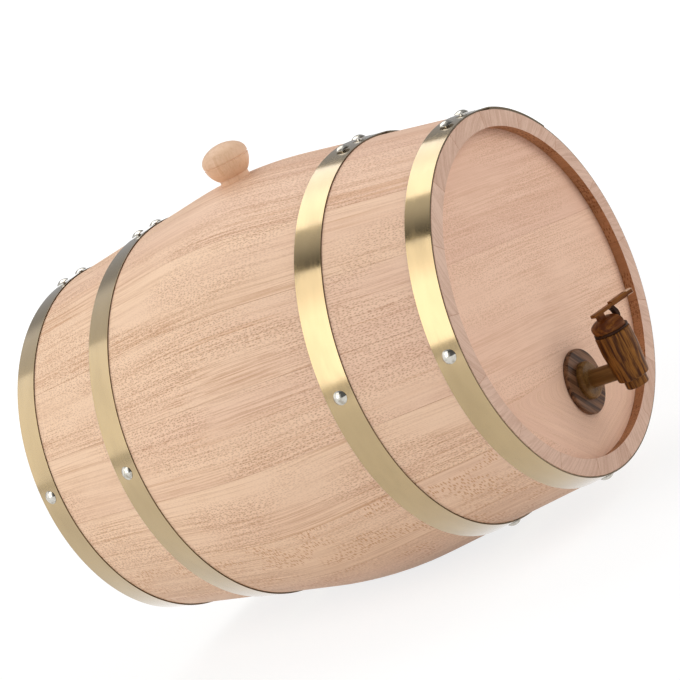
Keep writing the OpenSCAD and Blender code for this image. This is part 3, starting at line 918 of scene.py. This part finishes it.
def makeHead(end, turn):
    blank = makeHeadBlank()
    seam = headLook["middleBoard"] / 2
    side = -1 if end == "front" else 1
    slope = Matrix.Rotation(math.radians(side * turn), 4, "Y")
    facing = Matrix.Rotation(math.pi if side > 0 else 0, 4, "Z")
    stand = (Matrix.Translation((0, side * headY, axisHeight)) @ slope @ facing
             @ Matrix.Diagonal((1, -1, 1, 1)) @ Matrix.Rotation(math.radians(90), 4, "X"))
    for number, part in enumerate(("upper", "middle", "lower")):
        node = "%s_head_%s" % (end, part)
        board = copyOf(blank, node + "_wood")
        if part != "upper":
            sawOff(board, seam if part == "middle" else -seam, False)
        if part != "lower":
            sawOff(board, seam if part == "upper" else -seam, True)
        softenEdges(board, headLook["ease"])
        shift = Vector((0.31 * number + 0.13 * side, 0.7 * number, 0))
        storeGrain(board, lambda co: Vector((co.y, co.x, co.z)) + shift,
                   headLook["tones"][part], headLook["warmths"][part])
        moveBy(board, stand)
        cleanMesh(board)
        if end == "front" and part == "lower":
            boreForStem(board)
        shadeFlats(board)
        usePieceMaterials(board, "headWood")
        finishPiece(board, "cask", "head_wood", node)
    bpy.data.objects.remove(blank)


tapLook = {
    "drop": 56.5 * mm,        # below the cask's axis
    "reach": 31.7 * mm,       # from the head to the middle of the tap's body
    "above": 22.5 * mm,       # from the stem's axis to the body's top
    "stemRadius": 5.25 * mm, "tailRadius": 7.2 * mm, "tailTaper": 0.8 * mm, "tailLength": 19 * mm,
    "bore": 2 * mm, "fit": 0.05 * mm, "socket": 2.5 * mm,
    "flangeRadius": 19.2 * mm, "flangeThickness": 3 * mm,
    "shoulderRadius": 11 * mm, "shoulderThickness": 3.8 * mm, "bevel": 1.1 * mm,
    "bodyHeight": 28.5 * mm, "bodyTop": 10.5 * mm, "bodyBelly": 10.8 * mm, "bellyDrop": 10 * mm,
    "bodyLow": 9.2 * mm, "nozzleRadius": 6.7 * mm, "nozzleHeight": 5.5 * mm,
    "flangeEdge": 0.4 * mm, "flangeGrain": -42,   # its grain slopes by so many degrees
    "shoulderLip": 0.5 * mm, "shoulderRound": 1.9 * mm, "hollow": 0.8 * mm, "ease": 0.7 * mm,
}
stemHeight = axisHeight - tapLook["drop"]
tapY = -headY - tapLook["reach"]
tapTop = stemHeight + tapLook["above"]
alongStem = Matrix.Translation((0, -headY, stemHeight)) @ Matrix.Rotation(math.radians(90), 4, "X")
onTap = Matrix.Translation((0, tapY, tapTop))


def boreForStem(board):
    length, spare = tapLook["tailLength"], 0.01 * mm
    wide = tapLook["tailRadius"] + tapLook["fit"]
    cutter = addRound(64, wide - tapLook["tailTaper"], wide, length, spare - length / 2)
    moveBy(cutter, alongStem)
    cutAway(board, cutter)


makeHead("front", headLook["frontTurn"])
makeHead("rear", headLook["rearTurn"])
for node in ("front_head_dowels", "rear_head_dowels"):
    usePieceMaterials(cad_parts[node], "dowelWood")
print("heads are made")


# hoops

hoopLook = {
    "thickness": 0.8 * mm, "fit": 0.08 * mm, "endWidth": 15.5 * mm, "bellyWidth": 17 * mm,
    "bellyY": 78.5 * mm, "setback": 0.4 * mm, "lapLength": 56 * mm, "lapTurn": -2.5,
    "rampDegrees": 7, "rampSteps": 7, "ease": 0.12 * mm, "degreesPerStep": 2.0,
}
endHoopY = half - hoopLook["setback"] - hoopLook["endWidth"] / 2
hoops = {
    "front_end_hoop": (-endHoopY, hoopLook["endWidth"]),
    "front_belly_hoop": (-hoopLook["bellyY"], hoopLook["bellyWidth"]),
    "rear_belly_hoop": (hoopLook["bellyY"], hoopLook["bellyWidth"]),
    "rear_end_hoop": (endHoopY, hoopLook["endWidth"]),
}


def spinSelected(degrees, steps):
    # onwards from the top towards the left side
    bpy.ops.mesh.spin(steps=steps, angle=math.radians(degrees), center=(0, 0, axisHeight), axis=(0, -1, 0))


def makeHoop(node):
    # one strip, from its hidden inner end round the cask, up a small step and along the lap
    y, width = hoops[node]
    thick = hoopLook["thickness"]
    lap = math.degrees(hoopLook["lapLength"] / staveRadius(y))
    corners = [(y - width / 2, 0), (y - width / 2, thick), (y + width / 2, thick), (y + width / 2, 0)]
    outline = [(0, at, axisHeight + staveRadius(at) + hoopLook["fit"] + rise) for at, rise in corners]
    hoop = fillOutline(outline)
    ramp = hoopLook["rampDegrees"]
    spinSelected(360 - ramp, int((360 - ramp) / hoopLook["degreesPerStep"]))
    for i in range(hoopLook["rampSteps"]):
        share = ramp / hoopLook["rampSteps"]
        spinSelected(share, 1)
        angle = math.radians(360 - ramp + (i + 1) * share)
        rise = thick / hoopLook["rampSteps"]
        bpy.ops.transform.translate(value=(-rise * math.sin(angle), 0, rise * math.cos(angle)))
    spinSelected(lap, int(lap / hoopLook["degreesPerStep"]))
    leaveEdit()
    hoop.name = node + "_strip"
    cleanMesh(hoop)
    moveBy(hoop, caskTurn(math.radians(hoopLook["lapTurn"] - lap / 2)))
    return hoop


def paintHoop(hoop, y):
    usePieceMaterials(hoop, "brass", "brassEdgePaintedShade")
    # the edge faces take the dark edge finish, painted shade along the hoops' edges
    for face in hoop.data.polygons:
        face.material_index = 1 if abs(face.normal.y) > 0.9 else 0

    def place(co):
        angle, radius = aroundCask(co)
        return Vector((co.y, angle * staveRadius(y), radius - staveRadius(co.y)))

    storeGrain(hoop, place)


fixingLook = {
    "domeRadius": 4.1 * mm, "domeHeight": 2 * mm, "lip": 0.2 * mm, "domeSteps": 10,
    "rivetRadius": 1.5 * mm, "rivetGap": 20 * mm, "tailRadius": 2.5 * mm, "tailHeight": 0.8 * mm,
    "nailRadius": 1.2 * mm, "nailLength": 5 * mm, "nailEvery": 4, "fit": 0.05 * mm,
    "drillLength": 6 * mm,
}


def domeOutline():
    # from the rim of the head up over its dome to the axis
    rim, height, lip = fixingLook["domeRadius"], fixingLook["domeHeight"], fixingLook["lip"]
    rise = height - lip
    ball = (rim * rim + rise * rise) / (2 * rise)
    start = math.degrees(math.asin((ball - rise) / ball))
    return [(rim, 0)] + arc((0, height - ball), ball, start, 90, fixingLook["domeSteps"])


def makeRivetModel():
    # its z = 0 is under the dome, on top of the lap
    through = 2 * hoopLook["thickness"] + fixingLook["fit"]
    shank, tail = fixingLook["rivetRadius"], fixingLook["tailRadius"]
    tailLow = -through - fixingLook["tailHeight"]
    below = [(0, tailLow), (tail, tailLow), (tail, -through), (shank, -through), (shank, 0)]
    return turnOutline("rivet_model", below + domeOutline(), 32)


def makeNailModel():
    # its z = 0 is under the dome, on top of the hoop
    low = -fixingLook["nailLength"] - hoopLook["fit"] - hoopLook["thickness"]
    shank = fixingLook["nailRadius"]
    below = [(0, low), (shank * 0.3, low), (shank, low + 2 * shank), (shank, 0)]
    return turnOutline("nail_model", below + domeOutline(), 32)


def rivetAngles(y):
    middle = math.radians(hoopLook["lapTurn"])
    away = fixingLook["rivetGap"] / 2 / staveRadius(y)
    return [middle - away, middle + away]


def nailAngles():
    step = fixingLook["nailEvery"]
    return [i * pitch for i in range(step, cask["staves"] - step + 2, step)]


def boreHoop(hoop, y):
    # holes for the shanks, with a little room
    cutters = []
    places = [(angle, fixingLook["rivetRadius"]) for angle in rivetAngles(y)]
    places += [(angle, fixingLook["nailRadius"]) for angle in nailAngles()]
    for angle, radius in places:
        wide = radius + fixingLook["fit"]
        cutter = addRound(24, wide, wide, fixingLook["drillLength"])
        moveBy(cutter, onStave(y, angle))
        cutters.append(cutter)
    cutAway(hoop, joinAs("hoop_drill", cutters))


def makeHoops():
    for node, (y, _) in hoops.items():
        hoop = makeHoop(node)
        softenEdges(hoop, hoopLook["ease"], angle=50)
        boreHoop(hoop, y)
        paintHoop(hoop, y)
        shadeFlats(hoop)
        finishPiece(hoop, "cask", "hoop_brass", node)
    print("hoops are made")


def makeFixings(name, model, rise, angleList, node):
    shadeFlats(model, 35)
    copies = []
    for y, _ in hoops.values():
        for angle in angleList(y):
            fixing = copyOf(model, name + "_one")
            moveBy(fixing, onStave(y, angle) @ Matrix.Translation((0, 0, rise)))
            copies.append(fixing)
    bpy.data.objects.remove(model)
    fixings = joinAs(name, copies)
    usePieceMaterials(fixings, "steel")
    finishPiece(fixings, "cask", "fixing_steel", node)


makeHoops()
lapTop = hoopLook["fit"] + 2 * hoopLook["thickness"]
hoopTop = hoopLook["fit"] + hoopLook["thickness"]
makeFixings("rivets", makeRivetModel(), lapTop, rivetAngles, "hoop_rivets")
makeFixings("nails", makeNailModel(), hoopTop, lambda y: nailAngles(), "hoop_nails")
print("rivets and nails are made")


# bung

def ballOutline(radius, foot, low, top, steps=12):
    # a turned ball from its foot at z = 0 out to its radius at z = low, and in to its top
    start = -math.acos(foot / radius)
    points = []
    for i in range(2 * steps + 1):
        angle = start * (1 - i / steps) if i < steps else (i - steps) / steps * math.pi / 2
        z = low * (1 - math.sin(angle) / math.sin(start)) if angle < 0 else low + top * math.sin(angle)
        points.append((radius * math.cos(angle), z))
    points[-1] = (0, points[-1][1])
    return points


def makeBung():
    foot, deep = bungLook["foot"], -bungLook["depth"]
    knob, neck = bungLook["knobRadius"], bungLook["radius"] + bungLook["flare"]
    ball = ballOutline(knob, neck, bungLook["knobLow"], bungLook["knobTop"])
    ball = [(x, z + foot) for x, z in ball]
    # a scored line lies under the knob's widest place
    score, scoreZ = bungLook["score"], foot + bungLook["scoreHeight"]
    share = 1 - bungLook["scoreHeight"] / bungLook["knobLow"]
    scoreRadius = knob * math.sqrt(1 - (1 - (neck / knob) ** 2) * share * share)
    groove = arc((scoreRadius, scoreZ), score, 270, 90, 4)
    below = [point for point in ball if point[1] < scoreZ - score]
    above = [point for point in ball if point[1] > scoreZ + score]
    outline = [(0, deep), (bungRadiusAt(bungLook["depth"]), deep), (bungLook["radius"], 0),
               (bungLook["radius"], foot)] + below + groove + above
    bung = turnOutline("bung_knob", outline, 96)
    shadeFlats(bung, 35)
    seat = Matrix.Translation((0, 0, topHeight))
    finishTurning(bung, (0.2, 0.1, 0.4), seat, "bungWood", "bung", "bung_wood", "bung", bungLook["tone"])
    print("bung is made")


makeBung()


# tap

def makeFlange():
    look = tapLook
    inner, outer = look["stemRadius"] + look["fit"], look["flangeRadius"]
    thick, bevel, edge = look["flangeThickness"], look["bevel"], look["flangeEdge"]
    rounded = arc((outer - bevel, thick - bevel), bevel, 0, 90, 6)
    outline = [(inner, 0), (outer - edge, 0), (outer, edge)] + rounded + [(inner, thick), (inner, 0)]
    flange = turnOutline("flange_disc", outline, 96)
    shadeFlats(flange, 35)
    slope = Matrix.Rotation(math.radians(look["flangeGrain"]), 3, "Z")
    storeGrain(flange, lambda co: slope @ co + Vector((0.05, 0.3, 0)))
    moveBy(flange, alongStem)
    usePieceMaterials(flange, "flangeWood")
    finishPiece(flange, "cask", "flange_wood", "tap_flange")


def bodyRadiusAt(drop):
    # swells from the top to the belly and draws in again to the low end
    top, belly, low = tapLook["bodyTop"], tapLook["bodyBelly"], tapLook["bodyLow"]
    at = tapLook["bellyDrop"]
    if drop < at:
        return top + (belly - top) * drop / at
    return belly - (belly - low) * (drop - at) / (tapLook["bodyHeight"] - at)


def makeStem():
    look = tapLook
    bore, shaft, tail, tailEnd = look["bore"], look["stemRadius"], look["tailRadius"], -look["tailLength"]
    end = look["reach"] - (bodyRadiusAt(look["above"]) - look["socket"])
    low, high = look["flangeThickness"], look["flangeThickness"] + look["shoulderThickness"]
    wide, lip = look["shoulderRadius"], look["shoulderLip"]
    edge, hollow = look["shoulderRound"], look["hollow"]
    outline = [(bore, tailEnd), (tail - look["tailTaper"], tailEnd), (tail, 0), (shaft, 0), (shaft, low),
               (wide - lip, low), (wide, low + lip)]
    outline += arc((wide - edge, high - edge), edge, 0, 90, 8)
    outline += arc((shaft + hollow, high + hollow), hollow, 270, 180, 5)
    outline += [(shaft, end), (bore, end), (bore, tailEnd)]
    stem = turnOutline("stem_turning", outline, 72)
    shadeFlats(stem, 35)
    finishTurning(stem, (0.15, 0.2, 0.3), alongStem, "stemWood", "cask", "stem_wood", "tap_stem")


keyLook = {
    "plugRadius": 6 * mm, "plugLength": 26.5 * mm, "plugTaper": 1.2 * mm, "fit": 0.06 * mm,
    "gap": 0.3 * mm, "base": 1.4 * mm, "bulbRadius": 10.2 * mm, "bulbHeight": 9 * mm,
    "bulbWaist": 1.2 * mm, "bulbFlat": 4 * mm, "barHeight": 11.8 * mm, "barLength": 31.5 * mm,
    "barBack": 7.5 * mm, "gripWidth": 4 * mm, "thin": 1.9 * mm, "thick": 2.9 * mm, "turn": 66,
    "post": 4 * mm, "postBack": 4.6 * mm, "leg": 2.5 * mm, "legOut": 3.1 * mm, "tip": 4.5 * mm,
    "plugEase": 0.4 * mm, "bulbEase": 0.5 * mm, "gripEase": 0.3 * mm,
    "legSway": 1.1 * mm, "legStart": -80, "legSweep": 310, "legSteps": 14,   # the leg's part of a wave
}


def plugRadiusAt(drop):
    return keyLook["plugRadius"] - keyLook["plugTaper"] * drop / keyLook["plugLength"]


def makeTapBody():
    look, fit = tapLook, keyLook["fit"]
    low, deep = -look["bodyHeight"], -keyLook["plugLength"] - 1 * mm
    nozzleEnd = low - look["nozzleHeight"]
    outline = [(look["bore"], nozzleEnd), (look["nozzleRadius"], nozzleEnd), (look["nozzleRadius"], low),
               (look["bodyLow"], low), (look["bodyBelly"], -look["bellyDrop"]), (look["bodyTop"], 0),
               (plugRadiusAt(0) + fit, 0), (plugRadiusAt(-deep) + fit, deep), (look["bore"], deep),
               (look["bore"], nozzleEnd)]
    body = turnOutline("tap_turning", outline, 72)
    softenEdges(body, look["ease"], segments=3)
    wide = look["stemRadius"] + look["fit"]
    socket = addRound(48, wide, wide, look["bodyTop"])
    socketFloor = bodyRadiusAt(look["above"]) - look["socket"]
    moveBy(socket, Matrix.Translation((0, socketFloor + look["bodyTop"] / 2, -look["above"]))
           @ Matrix.Rotation(math.radians(90), 4, "X"))
    cutAway(body, socket)
    shadeFlats(body)
    finishTurning(body, (0.42, 0.1, 0.2), onTap, "tapWood", "cask", "tap_wood", "tap_body")


def makeGripPart(outline):
    # an outline seen from the side, as thick as the grip
    wide = keyLook["gripWidth"]
    part = fillOutline([(x, -wide / 2, z) for x, z in outline])
    bpy.ops.mesh.extrude_region_move(TRANSFORM_OT_translate={"value": (0, wide, 0)})
    leaveEdit()
    cleanMesh(part)
    softenEdges(part, keyLook["gripEase"], angle=35)
    return part


def makeKey():
    look = keyLook
    base, gap = look["base"], look["gap"]
    turned = [(0, -look["plugLength"]), (plugRadiusAt(look["plugLength"]), -look["plugLength"]),
              (look["plugRadius"], 0), (look["plugRadius"], gap), (look["bulbRadius"], gap),
              (look["bulbRadius"], gap + base), (0, gap + base)]
    plug = turnOutline("key_plug", turned, 72)
    softenEdges(plug, look["plugEase"], segments=3)
    middle = look["bulbHeight"] / 2
    ball = ballOutline(look["bulbRadius"], look["bulbRadius"] - look["bulbWaist"], middle, middle)
    bulb = turnOutline("key_bulb", [(0, gap)] + [(x, z + gap) for x, z in ball], 72)
    edit(bulb)
    bpy.ops.mesh.select_all(action="SELECT")
    bpy.ops.mesh.bisect(plane_co=(look["bulbFlat"], 0, 0), plane_no=(1, 0, 0), use_fill=True,
                        clear_outer=True)
    leaveEdit()
    softenEdges(bulb, look["bulbEase"], segments=3)
    barLow, barTop = look["barHeight"], look["barHeight"] + look["thin"]
    barMid = barLow + look["thin"] / 2
    legMid = look["bulbFlat"] + look["legOut"]
    footZ = gap + base / 2

    def legPoint(i, side):
        # the leg sways like a wave from its foot to the bar
        share = i / look["legSteps"]
        sway = look["legSway"] * math.sin(math.radians(look["legStart"] + look["legSweep"] * share))
        return (legMid + side * look["leg"] / 2 + sway, footZ + (barMid - footZ) * share)

    steps = range(look["legSteps"] + 1)
    leg = makeGripPart([legPoint(i, -1) for i in steps] + [legPoint(i, 1) for i in reversed(steps)])
    back, front = -look["postBack"], -look["postBack"] + look["post"]
    post = makeGripPart([(back, middle), (front, middle), (front, barMid), (back, barMid)])
    barEnd, reach = -look["barBack"], look["barLength"] - look["barBack"]
    tipStart, thickTop = reach - look["tip"], barLow + look["thick"]
    bar = makeGripPart([(barEnd, barLow), (tipStart, barLow), (reach, barLow), (reach, thickTop),
                        (tipStart, thickTop), (legMid, thickTop), (legMid, barTop), (barEnd, barTop)])
    # the plug and the leg get the nearly black wood, painted shade for the shadow on the leg's inner side
    for part in (plug, leg):
        usePieceMaterials(part, "legPaintedShadeWood")
    for part in (bulb, post, bar):
        usePieceMaterials(part, "keyWood", "keyTipWood")
    for face in bar.data.polygons:
        face.material_index = 1 if face.center.x > tipStart else 0
    key = joinAs("key_turning", [plug, leg, bulb, post, bar])
    storeGrain(key, lambda co: Vector((co.z, co.x, co.y)) + Vector((0.3, 0.15, 0.25)))
    moveBy(key, onTap @ Matrix.Rotation(math.radians(look["turn"] - 90), 4, "Z"))
    finishPiece(key, "key", "key_wood", "tap_key")


makeFlange()
makeStem()
makeTapBody()
makeKey()
print("tap is made")
